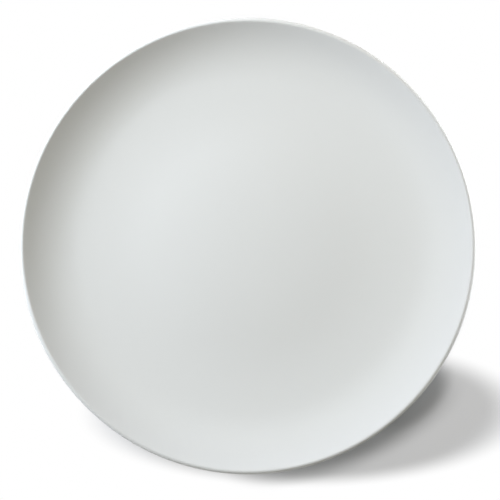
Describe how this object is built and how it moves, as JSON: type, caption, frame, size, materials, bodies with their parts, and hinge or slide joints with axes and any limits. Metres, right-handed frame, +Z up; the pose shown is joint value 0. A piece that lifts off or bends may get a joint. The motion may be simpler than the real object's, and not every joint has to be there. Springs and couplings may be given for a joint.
{
  "type": "pizza plate",
  "caption": "Round white porcelain coupe pizza plate with a level well, a rim that sweeps up without a border, a rounded lip and a bare foot ring.",
  "frame": {"origin": "on the plate's axis, at the level of the table that its foot ring stands on", "axes": "+Z up along the plate's axis, out of its face; X and Y lie in the table and are alike, because the plate is turned about Z"},
  "size_m": [0.32, 0.32, 0.027],
  "materials": {
    "bare_porcelain": "matte",
    "white_glaze": "satin"
  },
  "bodies": {
    "root": {"porcelain_body": "bare_porcelain", "glaze_coat": "white_glaze", "recess_glaze": "white_glaze"}
  },
  "joints": []
}
